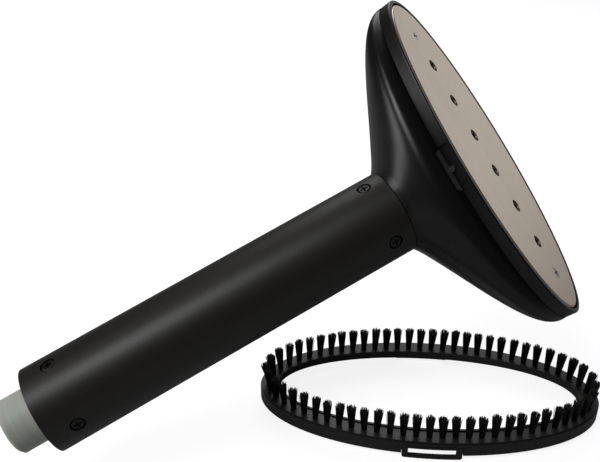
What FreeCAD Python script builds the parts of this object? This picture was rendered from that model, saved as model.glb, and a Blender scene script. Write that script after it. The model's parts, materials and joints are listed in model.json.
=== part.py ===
"""Steam head of a commercial garment steamer, with its loose oval brush ring.

The wand is a round metal handle tube with a hose plug at one end and a flared, hollow head at the other.
The head's oval sole plate leans forward from the tube's axis, about the plate's own long axis.
The brush ring lies beside the wand with its bristles up, on the two spring loops that snap over the head.

Frames used below, all in millimetres:
  row frame    +Z up, +X to the right, origin at the middle of the tube's hose end
  wand frame   origin as above, +Z along the tube towards the head, -Y to the side that the plate leans to
  plate frame  origin in the middle of the plate's front face, +X along its long axis, +Z out of the face
  ring frame   origin in the middle of the ring's lower edge, +X along its long axis, +Z towards the tips
"""

import math
import os

import FreeCAD, Part
import Sketcher
from FreeCAD import Placement, Rotation, Vector

SIZES = {
    # handle
    "tube_radius": 19.0,
    "tube_bore": 16.0,
    "tube_length": 169.7,
    "seam_gap": 0.3,
    "slip_fit": 0.05,
    "sink_radius": 3.25,
    "sink_depth": 1.8,
    "shank_radius": 1.6,
    "thread_radius": 1.5,
    "thread_end": 11.5,
    "screw_head": 2.75,
    "screw_head_height": 1.5,
    "hose_screw_height": 12.5,
    "neck_screw_height": 160.7,
    # hose plug and what it holds
    "nose_radius": 12.05,
    "nose_length": 14.5,
    "nose_bevel": 1.2,
    "hose_bore": 7.0,
    "hose_bore_depth": 16.0,
    "plug_depth": 24.0,
    "nipple_radius": 4.8,
    "nipple_collar": 6.4,
    # neck plug
    "neck_plug_low": 148.0,
    "neck_plug_high": 178.0,
    "neck_bore": 10.0,
    # steam pipe
    "pipe_radius": 4.0,
    "pipe_bore": 3.2,
    "pipe_low": 27.5,
    "seal_thick": 0.75,
    "pipe_high": 190.0,
    "boss_radius": 6.5,
    "boss_low": 186.0,
    "boss_length": 20.0,
    "sleeve_radius": 14.0,
    "sleeve_low": 42.0,
    "sleeve_high": 138.0,
    "inlet_clip_low": 38.0,
    "outlet_clip_low": 142.0,
    "clip_thick": 2.0,
    "nipple_bore": 2.5,
    "nipple_reach": 8.0,
    # head shell
    "neck_radius": 19.0,
    "shell_wall": 2.2,
    "rim_length": 81.8,
    "rim_width": 35.7,
    "rim_height": 5.5,
    "rim_round": 0.8,
    "parting": 0.3,
    # plate
    "plate_rise": 50.6,
    "plate_shift": 2.6,
    "plate_lean": 39.4,
    "plate_length": 79.2,
    "plate_width": 33.1,
    "plate_thick": 1.2,
    "plate_round": 0.9,
    "plate_skirt": 3.2,
    "flange_band": 3.4,
    "tongue_height": 1.8,
    "tongue_play": 0.6,
    "tongue_side_play": 2.45,
    "plate_gap": 0.7,
    "steam_hole": 3.0,
    "steam_pitch": 18.5,
    "screw_pitch": 16.0,
    "sole_head": 3.0,
    # chamber behind the plate
    "chamber_length": 55.0,
    "chamber_width": 14.0,
    "chamber_rim": 4.5,
    "chamber_floor": 2.0,
    "chamber_back": 15.0,
    "chamber_front": 5.2,
    "lid_length": 68.0,
    "lid_back": 4.2,
    "lid_front": 3.0,
    "nozzle_radius": 2.6,
    "nozzle_bore": 1.7,
    "nozzle_top": 0.6,
    "lid_screw_reach": 25.0,
    "lid_screw_width": 10.9,
    "lid_screw_radius": 1.2,
    "lid_screw_length": 6.0,
    "lid_screw_head": 2.0,
    "lid_screw_head_height": 1.0,
    "thread_depth": 5.0,
    "pillar_radius": 4.5,
    "pillar_back": 32.0,
    "insert_radius": 2.5,
    "insert_length": 6.5,
    "sole_screw_length": 9.0,
    # catches
    "catch_length": 20.0,
    "catch_depth": 3.6,
    "catch_height": 2.4,
    "catch_root": 1.4,
    "stop_radius": 1.4,
    "stop_height": 1.1,
    "stop_sunk": 0.5,
    "catch_slope": 1.0,
    "catch_taper": 1.2,
    "seat_play": 0.3,
    "seat_reach": 4.0,
    "pocket_length": 21.4,
    "pocket_depth": 1.3,
    "pocket_cover": 0.9,
    # brush ring
    "ring_length": 84.4,
    "ring_width": 38.8,
    "ring_wall": 2.3,
    "ring_height": 7.1,
    "ring_band": 9.5,
    "ring_step": 0.7,
    "step_height": 0.9,
    "lip_height": 0.6,
    "lip_thick": 1.1,
    "ring_skirt": 3.5,
    "loop_length": 28.0,
    "loop_drop": 2.5,
    "loop_thick": 2.0,
    "loop_gap": 0.3,
    "loop_top": 4.0,
    "loop_corner": 1.2,
    "loop_depth": 6.0,
    "bead_radius": 0.8,
    "bead_reach": 37.55,
    "notch_play": 0.8,
    "window_length": 22.4,
    "window_low": 1.0,
    "window_high": 3.2,
    "tuft_root": 1.25,
    "tuft_tip": 1.95,
    "tuft_height": 11.8,
    "tuft_sunk": 1.6,
    "anchor_height": 0.9,
    "anchor_length": 1.9,
    "anchor_thick": 0.4,
}
TUFTS = 61
FLARE_SECTIONS = 9
HOLES = 6
TUFT_LEAN = 9.0

# How the wand is held: the tube's compass heading and rise, and its turn about its own axis.
WAND_HEADING = 22.1
WAND_RISE = 21.1
WAND_TURN = -38.4
SCREW_TURN = -4.3
# Where the ring lies: the middle of its lower edge in the row frame, and its heading.
RING_PLACE = Vector(169.9, 59.4, -45.9)
RING_HEADING = -4.2

Z_AXIS = Vector(0, 0, 1)
X_AXIS = Vector(1, 0, 0)

doc = FreeCAD.newDocument("steam_head")
sheet = doc.addObject("Spreadsheet::Sheet", "Sizes")
for row, (alias, number) in enumerate(SIZES.items(), start=1):
    sheet.set(f"A{row}", alias)
    sheet.set(f"B{row}", str(number))
    sheet.setAlias(f"B{row}", alias)
doc.recompute()


def size(alias):
    """A driving dimension, read from the sheet."""
    return float(sheet.get(alias))


def value(expression):
    """The number that an expression on the sheet's aliases gives now."""
    answer = sheet.evalExpression(expression)
    return float(getattr(answer, "Value", answer))


def bind(thing, **expressions):
    """Bind properties of an object to expressions written with the sheet's aliases."""
    for name, expression in expressions.items():
        thing.setExpression(name.replace("__", "."), on_sheet(expression))
    return thing


def on_sheet(expression):
    """Write an expression on aliases as one that other objects can read."""
    words = expression.replace("(", " ( ").replace(")", " ) ").split()
    return " ".join(f"Sizes.{word}" if word in SIZES else word for word in words)


# ---- frames -------------------------------------------------------------------------------------------


def wand_frame():
    heading = Rotation(Z_AXIS, WAND_HEADING)
    rise = Rotation(Vector(0, 1, 0), 90 - WAND_RISE)
    turn = Rotation(Z_AXIS, WAND_TURN)
    return Placement(Vector(0, 0, 0), heading * rise * turn)


def plate_in_wand():
    centre = Vector(-size("plate_shift"), 0, size("tube_length") + size("seam_gap") + size("plate_rise"))
    return Placement(centre, Rotation(X_AXIS, size("plate_lean")))


WAND = wand_frame()
SCREWS_IN_WAND = Placement(Vector(0, 0, 0), Rotation(Z_AXIS, SCREW_TURN - 45))
PLATE_IN_WAND = plate_in_wand()
PLATE = WAND * PLATE_IN_WAND
RING = Placement(RING_PLACE, Rotation(Z_AXIS, RING_HEADING))


# ---- building blocks ----------------------------------------------------------------------------------


def plane(body, role):
    return next(item for item in body.Origin.OriginFeatures if item.Role == role)


def new_sketch(body, role, name):
    sketch = body.newObject("Sketcher::SketchObject", name)
    sketch.AttachmentSupport = [(plane(body, role), "")]
    sketch.MapMode = "FlatFace"
    return sketch


def outline(sketch, corners):
    """A closed outline of straight lines through corners given as pairs of expressions, none negative."""
    points = [Vector(value(across), value(up), 0) for across, up in corners]
    for here, there in zip(points, points[1:] + points[:1]):
        sketch.addGeometry(Part.LineSegment(here, there))
    for side in range(len(points)):
        sketch.addConstraint(Sketcher.Constraint("Coincident", side, 2, (side + 1) % len(points), 1))
    for side, (across, up) in enumerate(corners):
        hold_point(sketch, side, "DistanceX", across, -2)
        hold_point(sketch, side, "DistanceY", up, -1)


def hold_point(sketch, side, kind, expression, axis):
    """Hold a line's first point at a distance from the origin, or on the axis where it is nought."""
    if abs(value(expression)) < 1e-9:
        sketch.addConstraint(Sketcher.Constraint("PointOnObject", side, 1, axis))
        return
    number = sketch.addConstraint(Sketcher.Constraint(kind, -1, 1, side, 1, value(expression)))
    sketch.setExpression(f"Constraints[{number}]", on_sheet(expression))


def turned(label, corners, placement):
    """A body turned about its Z axis from an outline of radius and height pairs."""
    body = doc.addObject("PartDesign::Body", label)
    sketch = new_sketch(body, "XZ_Plane", label + "_profile")
    outline(sketch, corners)
    revolution = body.newObject("PartDesign::Revolution", label + "_turning")
    revolution.Profile = sketch
    revolution.ReferenceAxis = (sketch, ["V_Axis"])
    revolution.Angle = 360
    body.Placement = placement
    return body


def cylinder(name, radius, height):
    """A cylinder up the Z axis, standing on the origin."""
    return bind(doc.addObject("Part::Cylinder", name), Radius=radius, Height=height)


def box(name, length, width, height, low):
    """A block centred on X, with its low Y and Z corner at the pair of expressions low."""
    block = doc.addObject("Part::Box", name)
    bind(block, Length=length, Width=width, Height=height, Placement__Base__x=f"0 - ( {length} ) / 2")
    return bind(block, Placement__Base__y=low[0], Placement__Base__z=low[1])


def oval_block(name, half_length, half_width, low, high):
    """An upright block of oval outline between two heights."""
    oval = doc.addObject("Part::Ellipse", name + "_oval")
    bind(oval, MajorRadius=half_length, MinorRadius=half_width)
    block = doc.addObject("Part::Extrusion", name)
    block.Base = oval
    block.DirMode = "Custom"
    block.Dir = Z_AXIS
    block.Solid = True
    bind(block, LengthFwd=f"( {high} ) - ( {low} )", Placement__Base__z=low)
    return block


def moved(thing, placement):
    thing.Placement = placement
    return thing


def fused(name, parts):
    union = doc.addObject("Part::MultiFuse", name)
    union.Shapes = parts
    return union


def cut(name, base, tool):
    difference = doc.addObject("Part::Cut", name)
    difference.Base = base
    difference.Tool = tool
    return difference


def common(name, parts):
    shared = doc.addObject("Part::MultiCommon", name)
    shared.Shapes = parts
    return shared


def group(label, solids, placement):
    """One sub-part that is several separate solids."""
    together = doc.addObject("Part::Feature", label)
    together.Shape = Part.makeCompound(solids)
    together.Placement = placement
    return together


# ---- handle -------------------------------------------------------------------------------------------


def handle_tube():
    """Drawn tube with four sunk screw holes near each end, a quarter turn apart."""
    body = doc.addObject("PartDesign::Body", "handle_tube")
    ring = new_sketch(body, "XY_Plane", "tube_section")
    for radius in ("tube_radius", "tube_bore"):
        edge = ring.addGeometry(Part.Circle(Vector(0, 0, 0), Z_AXIS, size(radius)))
        ring.addConstraint(Sketcher.Constraint("Coincident", edge, 3, -1, 1))
        number = ring.addConstraint(Sketcher.Constraint("Radius", edge, size(radius)))
        ring.setExpression(f"Constraints[{number}]", on_sheet(radius))
    tube = body.newObject("PartDesign::Pad", "tube_pad")
    tube.Profile = ring
    bind(tube, Length="tube_length")
    features = [
        screw_pocket(body, "tube_sinks", "sink_radius", "tube_radius - sink_depth"),
        screw_pocket(body, "tube_shanks", "shank_radius", "tube_bore - 1"),
    ]
    for pocket in features:
        pattern = body.newObject("PartDesign::PolarPattern", pocket.Name + "_round")
        pattern.Originals = [pocket]
        pattern.Axis = (ring, ["N_Axis"])
        pattern.Angle = 360
        pattern.Occurrences = 4
        body.Tip = pattern
    body.Placement = WAND * SCREWS_IN_WAND
    return body


def screw_pocket(body, name, radius, floor):
    """A pocket from outside the tube down to the distance floor from its axis, at both screw heights."""
    sketch = new_sketch(body, "XZ_Plane", name + "_circles")
    bind(sketch, AttachmentOffset__Base__z=f"0 - ( {floor} )")
    for number, height in enumerate(("hose_screw_height", "neck_screw_height")):
        circle = sketch.addGeometry(Part.Circle(Vector(0, size(height), 0), Z_AXIS, size(radius)))
        sketch.addConstraint(Sketcher.Constraint("PointOnObject", circle, 3, -2))
        rise = sketch.addConstraint(Sketcher.Constraint("DistanceY", -1, 1, circle, 3, size(height)))
        sketch.setExpression(f"Constraints[{rise}]", on_sheet(height))
        wide = sketch.addConstraint(Sketcher.Constraint("Radius", circle, size(radius)))
        sketch.setExpression(f"Constraints[{wide}]", on_sheet(radius))
    pocket = body.newObject("PartDesign::Pocket", name)
    pocket.Profile = sketch
    bind(pocket, Length="tube_radius")
    return pocket


def hose_plug():
    """Turned plug: a body inside the tube, a bevelled nose outside it and the socket for the hose."""
    nose = "nose_length"
    corners = [
        ("hose_bore", "0"),
        ("nose_radius - nose_bevel", "0"),
        ("nose_radius", "nose_bevel"),
        ("nose_radius", nose),
        ("tube_bore - slip_fit", nose),
        ("tube_bore - slip_fit", f"{nose} + plug_depth"),
        ("nipple_radius + slip_fit", f"{nose} + plug_depth"),
        ("nipple_radius + slip_fit", "hose_bore_depth"),
        ("hose_bore", "hose_bore_depth"),
    ]
    blank = turned("plug_blank", corners, Placement(Vector(0, 0, -size("nose_length")), Rotation()))
    return moved(drilled("hose_plug", blank, "hose_screw_height"), WAND)


def neck_plug():
    """Spigot that joins the tube to the head, hollow for the pipe."""
    corners = [
        ("neck_bore", "neck_plug_low"),
        ("tube_bore - slip_fit", "neck_plug_low"),
        ("tube_bore - slip_fit", "neck_plug_high"),
        ("neck_bore", "neck_plug_high"),
    ]
    blank = turned("spigot_blank", corners, Placement())
    return moved(drilled("neck_plug", blank, "neck_screw_height"), WAND)


def cross_screw(head_radius, head_height, shank_radius, length, countersunk=False):
    """A cross-recessed screw along +Z, head down from nought, shank pointing down."""
    if countersunk:
        head = Part.makeCone(shank_radius, head_radius, head_height, Vector(0, 0, -head_height))
    else:
        head = Part.makeCylinder(head_radius, head_height, Vector(0, 0, -head_height))
        head = head.makeFillet(head_height * 0.4, [head.Edges[0]])
    shank = Part.makeCylinder(shank_radius, length, Vector(0, 0, -head_height - length))
    screw = head.fuse(shank)
    slot, deep = head_radius * 0.28, head_height * 0.65
    reach = head_radius * 1.25
    for across, along in ((slot, reach), (reach, slot)):
        screw = screw.cut(Part.makeBox(across, along, deep, Vector(-across / 2, -along / 2, -deep)))
    return screw.removeSplitter()


def radial_screws(label, height):
    """Four screws round the tube, each head sunk below its surface."""
    head = size("screw_head_height")
    top = size("tube_radius") - size("sink_depth") + head
    length = top - head - size("thread_end")
    screws = []
    for quarter in range(4):
        turn = Rotation(Z_AXIS, 90 * quarter)
        screw = cross_screw(size("screw_head"), head, size("thread_radius"), length)
        screw.Placement = Placement(turn.multVec(Vector(0, -top, size(height))), turn * Rotation(X_AXIS, 90))
        screws.append(screw)
    return group(label, screws, WAND * SCREWS_IN_WAND)


def drilled(name, blank, height):
    """The blank with four blind holes for its radial screws."""
    drills = []
    for quarter in range(4):
        turn = Rotation(Z_AXIS, 90 * quarter)
        drill = cylinder(f"{name}_drill_{quarter}", "thread_radius", "tube_radius")
        spot = turn.multVec(Vector(0, -size("thread_end"), size(height)))
        drills.append(moved(drill, SCREWS_IN_WAND * Placement(spot, turn * Rotation(X_AXIS, 90))))
    return cut(name, blank, fused(f"{name}_drills", drills))


# ---- steam path inside the handle -----------------------------------------------------------------------


def inlet_nipple():
    """Barbed nipple between the hose socket and the pipe."""
    start = "hose_bore_depth - nose_length"
    corners = [
        ("nipple_bore", start),
        ("nipple_radius", start),
        ("nipple_radius", "plug_depth"),
        ("nipple_collar", "plug_depth"),
        ("nipple_collar", "plug_depth + clip_thick"),
        ("pipe_bore - slip_fit", "plug_depth + clip_thick"),
        ("pipe_bore - slip_fit", "pipe_low + nipple_reach"),
        ("nipple_bore", "pipe_low + nipple_reach"),
    ]
    return turned("inlet_nipple", corners, WAND)


def steam_pipe():
    corners = [
        ("pipe_bore", "pipe_low"),
        ("pipe_radius", "pipe_low"),
        ("pipe_radius", "pipe_high"),
        ("pipe_bore", "pipe_high"),
    ]
    return turned("steam_pipe", corners, WAND)


def pipe_ring(label, low, high, outer):
    """A ring round the pipe between two heights."""
    inner = "pipe_radius + slip_fit"
    return turned(label, [(inner, low), (outer, low), (outer, high), (inner, high)], WAND)


def pipe_clip(label, low):
    """A disc that centres the pipe in the tube."""
    return pipe_ring(label, low, f"{low} + clip_thick", "tube_bore - slip_fit")


def o_ring(label, radius, thickness, height):
    seal = doc.addObject("Part::Torus", label)
    bind(seal, Radius1=radius, Radius2=thickness)
    return moved(seal, WAND * Placement(Vector(0, 0, value(height)), Rotation()))


# ---- head ---------------------------------------------------------------------------------------------


def flare(share):
    """How far the head has widened, from 0 at the seam to 1 at the rim."""
    return 1 - (1 - share**1.2) ** 2


def head_loft(name, inset):
    """The flared solid between seam and rim; inset takes the wall off it all round."""
    back = size("parting") + size("rim_height")
    end = PLATE_IN_WAND * Placement(Vector(0, 0, -back), Rotation())
    start = Vector(0, 0, size("tube_length") + size("seam_gap"))
    ovals = []
    for number in range(FLARE_SECTIONS + 1):
        share = number / FLARE_SECTIONS
        lean = size("plate_lean") * share
        line = start + (end.Base - start) * share
        spot = Vector(line.x, end.Base.y * share**2, line.z)
        spread = flare(share)
        oval = doc.addObject("Part::Ellipse", f"{name}_oval_{number}")
        wall = f"neck_radius - tube_bore + ( shell_wall - neck_radius + tube_bore ) * {min(1, 3 * share)}"
        less = f"( {wall} ) * {inset}"
        bind(oval, MajorRadius=f"neck_radius + 0.001 + ( rim_length - neck_radius ) * {spread} - ( {less} )")
        bind(oval, MinorRadius=f"neck_radius + ( rim_width - neck_radius ) * {spread} - ( {less} )")
        ovals.append(moved(oval, Placement(spot, Rotation(X_AXIS, lean))))
    loft = doc.addObject("Part::Loft", name)
    loft.Sections = ovals
    loft.Solid = True
    loft.Ruled = False
    return loft


def across_plate(name, radius, low, high, spots):
    """Upright cylinders in the plate frame between two heights, one at each pair of X and Y."""
    pins = []
    for number, (along, across) in enumerate(spots):
        pin = cylinder(f"{name}_{number}", radius, f"( {high} ) - ( {low} )")
        pin.Placement = Placement(Vector(along, across, value(low)), Rotation())
        pins.append(pin)
    return fused(name, pins)


def screw_spots():
    reach = size("steam_pitch") * (HOLES - 1) / 2 + size("screw_pitch")
    return [(-reach, 0), (reach, 0)]


def steam_spots():
    return [(size("steam_pitch") * (number - (HOLES - 1) / 2), 0) for number in range(HOLES)]


def lid_screw_spots():
    reach, width = size("lid_screw_reach"), size("lid_screw_width")
    return [(along * reach, across * width) for along in (-1, 1) for across in (-1, 1)]


def catch_solid(name, side):
    """A catch on one long side, -1 near and 1 far: a ramp for the ring's loop and a small round stop."""
    ramp = doc.addObject("Part::Wedge", name + "_ramp")
    bind(ramp, Xmin="0 - catch_length / 2 - seat_play", Xmax="catch_length / 2 + seat_play")
    bind(ramp, X2min="catch_taper - catch_length / 2", X2max="catch_length / 2 - catch_taper")
    bind(ramp, Zmin="0 - catch_depth", Zmax="0", Z2min="0 - catch_depth", Z2max="0 - catch_slope")
    bind(ramp, Ymin="0", Ymax="catch_height")
    root = size("rim_width") - size("catch_root")
    front = -size("rim_height") - size("parting")
    turn = Rotation(Z_AXIS, 180 if side < 0 else 0)
    moved(ramp, Placement(turn.multVec(Vector(0, root, front)), turn))
    stop = cylinder(name + "_stop", "stop_radius", "stop_height")
    floor = size("rim_width") - size("pocket_depth")
    spot = Vector(0, side * floor, front + size("stop_radius") - size("stop_sunk"))
    moved(stop, Placement(spot, Rotation(X_AXIS, -90 if side > 0 else 90)))
    return fused(name, [ramp, stop])


def head_shell():
    """Hollow flared shell with two pillars for the sole screws and a seat for each catch."""
    back = "0 - rim_height - parting"
    outside, inside = head_loft("head_outside", 0), head_loft("head_inside", 1)
    wall = cut("head_wall", outside, inside)
    roots = across_plate("pillar_roots", "pillar_radius", "0 - pillar_back", back, screw_spots())
    roots = moved(roots, PLATE_IN_WAND)
    rooted = common("rooted_pillars", [roots, head_loft("pillar_limit", 0.5)])
    tops = across_plate("pillar_tops", "pillar_radius", back, "0 - lid_back", screw_spots())
    solid = fused("shell_solid", [wall, rooted, moved(tops, PLATE_IN_WAND)])
    deep = "0 - lid_back - insert_length"
    bores = across_plate("insert_seats", "insert_radius", deep, "0", screw_spots())
    points = across_plate("screw_ends", "thread_radius", "0 - pillar_back / 2", "0", screw_spots())
    room = ("catch_length + 2 * seat_play", "seat_reach", "catch_depth")
    low = f"{back} - catch_depth"
    near = box("near_seat", *room, ("catch_root - rim_width - seat_reach", low))
    far = box("far_seat", *room, ("rim_width - catch_root", low))
    tools = fused("shell_cuts", [bores, points, near, far])
    return moved(cut("head_shell", solid, moved(tools, PLATE_IN_WAND)), WAND)


def rounded_rim(name, half_length, half_width, heights, radius):
    """An oval block between the pair of heights, whose upper edge is rounded."""
    block = oval_block(name + "_block", half_length, half_width, *heights)
    doc.recompute()
    top = value(heights[1])
    edges = block.Shape.Edges
    number = next(n for n, edge in enumerate(edges, 1) if abs(edge.BoundBox.ZMin - top) < 1e-6)
    rounded = doc.addObject("Part::Fillet", name)
    rounded.Base = block
    rounded.Edges = [(number, size(radius), size(radius))]
    return rounded


def rim_bezel():
    """Front ring round the plate: a flange under the plate, a lip round it and a tongue into the shell."""
    low = "0 - rim_height"
    tongue_low = "0 - rim_height - tongue_height"
    band = rounded_rim("bezel_band", "rim_length", "rim_width", (low, "0"), "rim_round")
    tongue_length = "rim_length - shell_wall - tongue_play"
    tongue_width = "rim_width - shell_wall - tongue_side_play"
    tongue = oval_block("bezel_tongue", tongue_length, tongue_width, tongue_low, low)
    seat_length, seat_width = "plate_length + plate_gap", "plate_width + plate_gap"
    seat = oval_block("plate_seat", seat_length, seat_width, "0 - plate_skirt", "0")
    opening_length = "rim_length - shell_wall - flange_band"
    opening_width = "rim_width - shell_wall - flange_band"
    opening = oval_block("bezel_opening", opening_length, opening_width, tongue_low, "0")
    pockets = []
    for name, start in (("near", "0 - rim_width - 1"), ("far", "rim_width - pocket_depth")):
        room = ("pocket_length", "pocket_depth + 1", "rim_height - pocket_cover")
        pockets.append(box(f"{name}_pocket", *room, (start, low)))
    tools = fused("bezel_cuts", [seat, opening] + pockets)
    return moved(cut("rim_bezel", fused("bezel_solid", [band, tongue]), tools), PLATE)


def sole_plate():
    """Stainless pan: flat face, turned-down edge, six steam holes and two sunk screw holes."""
    skirt = "0 - plate_skirt"
    pan = rounded_rim("pan", "plate_length", "plate_width", (skirt, "0"), "plate_round")
    inner_length, inner_width = "plate_length - plate_thick", "plate_width - plate_thick"
    hollow = oval_block("pan_hollow", inner_length, inner_width, skirt, "0 - plate_thick")
    holes = across_plate("steam_holes", "steam_hole", "0 - plate_thick", "0", steam_spots())
    sinks = []
    for number, (along, across) in enumerate(screw_spots()):
        sink = bind(doc.addObject("Part::Cone", f"sole_sink_{number}"), Radius1="shank_radius")
        bind(sink, Radius2="sole_head", Height="plate_thick")
        sinks.append(moved(sink, Placement(Vector(along, across, -size("plate_thick")), Rotation())))
    return moved(cut("sole_plate", pan, fused("pan_cuts", [hollow, holes] + sinks)), PLATE)


def sole_screws():
    screws = []
    for along, across in screw_spots():
        head = size("plate_thick")
        screw = cross_screw(size("sole_head"), head, size("thread_radius"), size("sole_screw_length"), True)
        screw.Placement = Placement(Vector(along, across, 0), Rotation())
        screws.append(screw)
    return group("sole_screws", screws, PLATE)


def screw_inserts():
    inserts = []
    for along, across in screw_spots():
        low = Vector(along, across, -size("lid_back") - size("insert_length"))
        sleeve = Part.makeCylinder(size("insert_radius"), size("insert_length"), low)
        inserts.append(sleeve.cut(Part.makeCylinder(size("thread_radius"), size("insert_length"), low)))
    return group("screw_inserts", inserts, PLATE)


# ---- chamber behind the plate ---------------------------------------------------------------------------


def steam_chamber():
    """Die-cast pan with a boss that takes the pipe."""
    back, front = "0 - chamber_back", "0 - chamber_front"
    inner_length, inner_width = "chamber_length - chamber_rim", "chamber_width - chamber_rim"
    block = oval_block("chamber_block", "chamber_length", "chamber_width", back, front)
    cavity = oval_block("chamber_cavity", inner_length, inner_width, f"{back} + chamber_floor", front)
    to_pipe = PLATE_IN_WAND.inverse()
    boss = cylinder("chamber_boss", "boss_radius", "boss_length")
    throat = cylinder("chamber_throat", "pipe_bore", "boss_length + clip_thick * 2")
    socket = cylinder("chamber_socket", "pipe_radius + slip_fit", "pipe_high - boss_low")
    for piece, height in ((boss, "boss_low"), (throat, "boss_low"), (socket, "boss_low")):
        moved(piece, to_pipe * Placement(Vector(0, 0, value(height)), Rotation()))
    deep = f"{front} - thread_depth"
    threads = across_plate("chamber_threads", "lid_screw_radius", deep, front, lid_screw_spots())
    solid = fused("chamber_solid", [block, boss])
    tools = fused("chamber_cuts", [cavity, throat, socket, threads])
    return moved(cut("steam_chamber", solid, tools), PLATE)


def chamber_gasket():
    back, front = "0 - chamber_front", "0 - lid_back"
    inner_length, inner_width = "chamber_length - chamber_rim", "chamber_width - chamber_rim"
    sheet_blank = oval_block("gasket_blank", "chamber_length", "chamber_width", back, front)
    middle = oval_block("gasket_middle", inner_length, inner_width, back, front)
    holes = across_plate("gasket_holes", "lid_screw_radius", back, front, lid_screw_spots())
    return moved(cut("chamber_gasket", sheet_blank, fused("gasket_cuts", [middle, holes])), PLATE)


def nozzle_plate():
    """Chamber lid with a short nozzle behind each steam hole and a spacer at each sole screw."""
    back, front = "0 - lid_back", "0 - lid_front"
    lid = oval_block("lid_blank", "lid_length", "chamber_width", back, front)
    nozzles = across_plate("nozzle_tubes", "nozzle_radius", front, "0 - nozzle_top", steam_spots())
    spacers = across_plate("lid_spacers", "insert_radius + 1", front, "0 - plate_thick", screw_spots())
    bores = across_plate("nozzle_bores", "nozzle_bore", back, "0", steam_spots())
    shanks = across_plate("lid_shank_holes", "shank_radius", back, "0", screw_spots())
    holes = across_plate("lid_screw_holes", "lid_screw_radius", back, "0", lid_screw_spots())
    solid = fused("lid_solid", [lid, nozzles, spacers])
    return moved(cut("nozzle_plate", solid, fused("lid_cuts", [bores, shanks, holes])), PLATE)


def chamber_screws():
    screws = []
    wide, head = size("lid_screw_head"), size("lid_screw_head_height")
    for along, across in lid_screw_spots():
        screw = cross_screw(wide, head, size("lid_screw_radius"), size("lid_screw_length"))
        screw.Placement = Placement(Vector(along, across, head - size("lid_front")), Rotation())
        screws.append(screw)
    return group("chamber_screws", screws, PLATE)


# ---- brush ring -----------------------------------------------------------------------------------------


def tuft_spots():
    """Evenly spaced places round the middle of the ring's band: X, Y and the outward heading."""
    length = size("ring_length") - size("ring_band") / 2
    width = size("ring_width") - size("ring_band") / 2
    steps = 7200
    turns = [2 * math.pi * step / steps for step in range(steps + 1)]
    points = [(length * math.cos(turn), width * math.sin(turn)) for turn in turns]
    walked = [0.0]
    for here, there in zip(points, points[1:]):
        walked.append(walked[-1] + math.dist(here, there))
    spots = []
    step = 0
    for number in range(TUFTS):
        goal = walked[-1] * (number + 0.5) / TUFTS
        while walked[step] < goal:
            step += 1
        along, across = points[step]
        spots.append((along, across, math.atan2(across / width**2, along / length**2)))
    return spots


def brush_ring():
    """Moulded frame: a flat band that holds the tufts, and a skirt that goes round the head's rim."""
    top, step = "ring_height", "ring_height - step_height"
    skirt = oval_block("ring_skirt_block", "ring_length", "ring_width", "0", step)
    band = oval_block("ring_band_block", "ring_length - ring_step", "ring_width - ring_step", step, top)
    inner_length, inner_width = "ring_length - ring_band", "ring_width - ring_band"
    lip_length, lip_width = f"{inner_length} + lip_thick", f"{inner_width} + lip_thick"
    lip = oval_block("ring_lip_block", lip_length, lip_width, "0", f"{top} + lip_height")
    opening = oval_block("ring_opening", inner_length, inner_width, "0", f"{top} + lip_height")
    cavity_length, cavity_width = "ring_length - ring_wall", "ring_width - ring_wall"
    cavity = oval_block("ring_cavity", cavity_length, cavity_width, "0", "ring_skirt")
    notch_room = ("loop_length + 2 * loop_gap", "loop_depth", "loop_top + bead_radius + loop_gap")
    notch_start = "ring_width - loop_thick - notch_play"
    near = box("near_notch", *notch_room, (f"0 - ( {notch_start} ) - loop_depth", "0"))
    far = box("far_notch", *notch_room, (notch_start, "0"))
    sockets = []
    deep = "tuft_sunk + anchor_height"
    for number, (along, across, _) in enumerate(tuft_spots()):
        socket = cylinder(f"tuft_socket_{number}", "tuft_root", deep)
        spot = Vector(along, across, value(f"ring_height - ( {deep} )"))
        sockets.append(moved(socket, Placement(spot, Rotation())))
    solid = fused("ring_solid", [skirt, band, lip])
    return moved(cut("brush_ring", solid, fused("ring_cuts", [opening, cavity, near, far] + sockets)), RING)


def bristle_tufts():
    """Envelope of each tuft: a root in its socket and a widening body that leans out at the ring's ends."""
    root, tip = size("tuft_root"), size("tuft_tip")
    top, sunk = size("ring_height"), size("tuft_sunk")
    tufts = []
    for along, across, heading in tuft_spots():
        stub = Part.makeCylinder(root, sunk, Vector(along, across, top - sunk))
        body = Part.makeCone(root, tip, size("tuft_height"))
        lean = TUFT_LEAN * math.cos(heading) ** 2
        outward = Vector(-math.sin(heading), math.cos(heading), 0)
        body.Placement = Placement(Vector(along, across, top), Rotation(outward, lean))
        tufts.append(stub.fuse(body).removeSplitter())
    return group("bristle_tufts", tufts, RING)


def tuft_anchors():
    """Flat wire staple at the foot of each tuft."""
    long, thick, high = size("anchor_length"), size("anchor_thick"), size("anchor_height")
    foot = size("ring_height") - size("tuft_sunk") - high
    anchors = []
    for along, across, heading in tuft_spots():
        staple = Part.makeBox(long, thick, high, Vector(-long / 2, -thick / 2, 0))
        staple.Placement = Placement(Vector(along, across, foot), Rotation(Z_AXIS, math.degrees(heading)))
        anchors.append(staple)
    return group("tuft_anchors", anchors, RING)


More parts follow.
